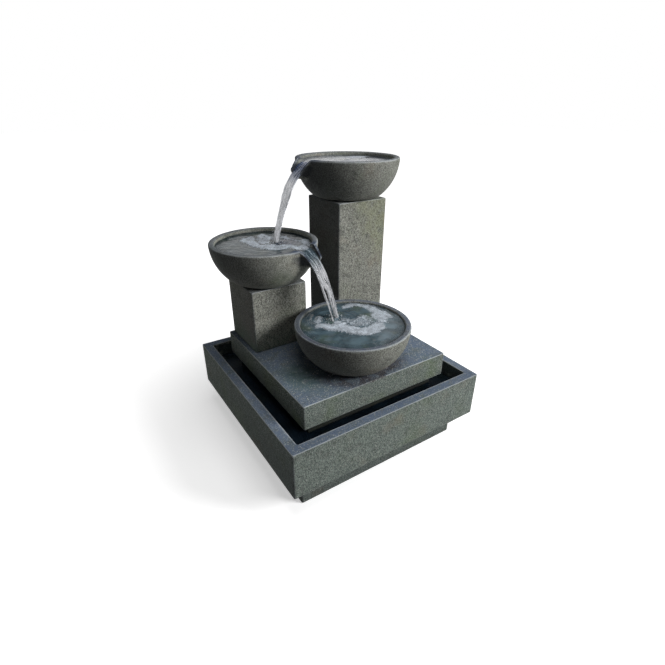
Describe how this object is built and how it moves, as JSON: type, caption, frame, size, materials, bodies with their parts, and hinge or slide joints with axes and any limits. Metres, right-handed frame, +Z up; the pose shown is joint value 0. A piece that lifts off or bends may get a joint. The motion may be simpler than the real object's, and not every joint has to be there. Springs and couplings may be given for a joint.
{
  "type": "cascading fountain",
  "caption": "Garden fountain with bowls on pedestals pouring into each other over a raised deck in a square basin, with the pump below.",
  "frame": {"origin": "centre of the underside of the foot, on the ground", "axes": "+Z up, -Y towards the front where the bottom bowl stands, +X towards the tall pedestal"},
  "size_m": [0.66, 0.66, 0.839],
  "materials": {
    "cast_stone": "matte",
    "dark_stone": "matte",
    "rubber": "matte",
    "moulded_plastic": "satin",
    "hose_plastic": "satin",
    "steel": "satin",
    "dial_plastic": "satin",
    "impeller_plastic": "satin",
    "shaft_ceramic": "satin",
    "water": "gloss",
    "falling_water": "gloss"
  },
  "bodies": {
    "base": {"basin": "cast_stone", "riser": "dark_stone", "deck": "cast_stone", "short_pedestal": "cast_stone", "tall_pedestal": "cast_stone", "bottom_bowl": "cast_stone", "bottom_bowl_pads": "rubber", "middle_bowl_pads": "rubber", "top_bowl_pads": "rubber", "delivery_hose": "hose_plastic", "hose_clamps": "steel", "pump_body": "moulded_plastic", "pump_cover": "moulded_plastic", "cover_seal": "rubber", "impeller_shaft": "shaft_ceramic", "shaft_bushes": "rubber", "suction_feet": "rubber", "cable_gland": "rubber", "cable_grommet": "rubber", "basin_water": "water", "bottom_pool": "water"},
    "top_bowl": {"top_bowl": "cast_stone", "inlet_fitting": "moulded_plastic", "inlet_gasket": "rubber", "inlet_nut": "moulded_plastic", "top_pool": "water", "upper_fall": "falling_water"},
    "middle_bowl": {"middle_bowl": "cast_stone", "middle_pool": "water", "lower_fall": "falling_water"},
    "impeller": {"impeller": "impeller_plastic"},
    "intake_cover": {"intake_cover": "moulded_plastic"},
    "flow_dial": {"flow_dial": "dial_plastic"},
    "drain_plug": {"drain_plug": "rubber"}
  },
  "joints": [
    {"name": "top_bowl_turn", "type": "hinge", "parent": "base", "child": "top_bowl", "pos_m": [0.157, 0.155, 0.719], "axis": [0, 0, 1], "range_deg": [-12, 12]},
    {"name": "middle_bowl_turn", "type": "hinge", "parent": "base", "child": "middle_bowl", "pos_m": [-0.146, 0.155, 0.499], "axis": [0, 0, 1], "range_deg": [-12, 12]},
    {"name": "impeller_spin", "type": "hinge", "parent": "base", "child": "impeller", "pos_m": [0.157, 0.155, 0.141], "axis": [1, 0, 0], "continuous": true},
    {"name": "intake_cover_slide", "type": "slide", "parent": "base", "child": "intake_cover", "axis": [1, 0, 0], "range_m": [0, 0.016]},
    {"name": "flow_dial_turn", "type": "hinge", "parent": "intake_cover", "child": "flow_dial", "pos_m": [0.183, 0.155, 0.141], "axis": [1, 0, 0], "range_deg": [0, 45]},
    {"name": "drain_plug_pull", "type": "slide", "parent": "base", "child": "drain_plug", "axis": [0, 1, 0], "range_m": [0, 0.05]}
  ]
}
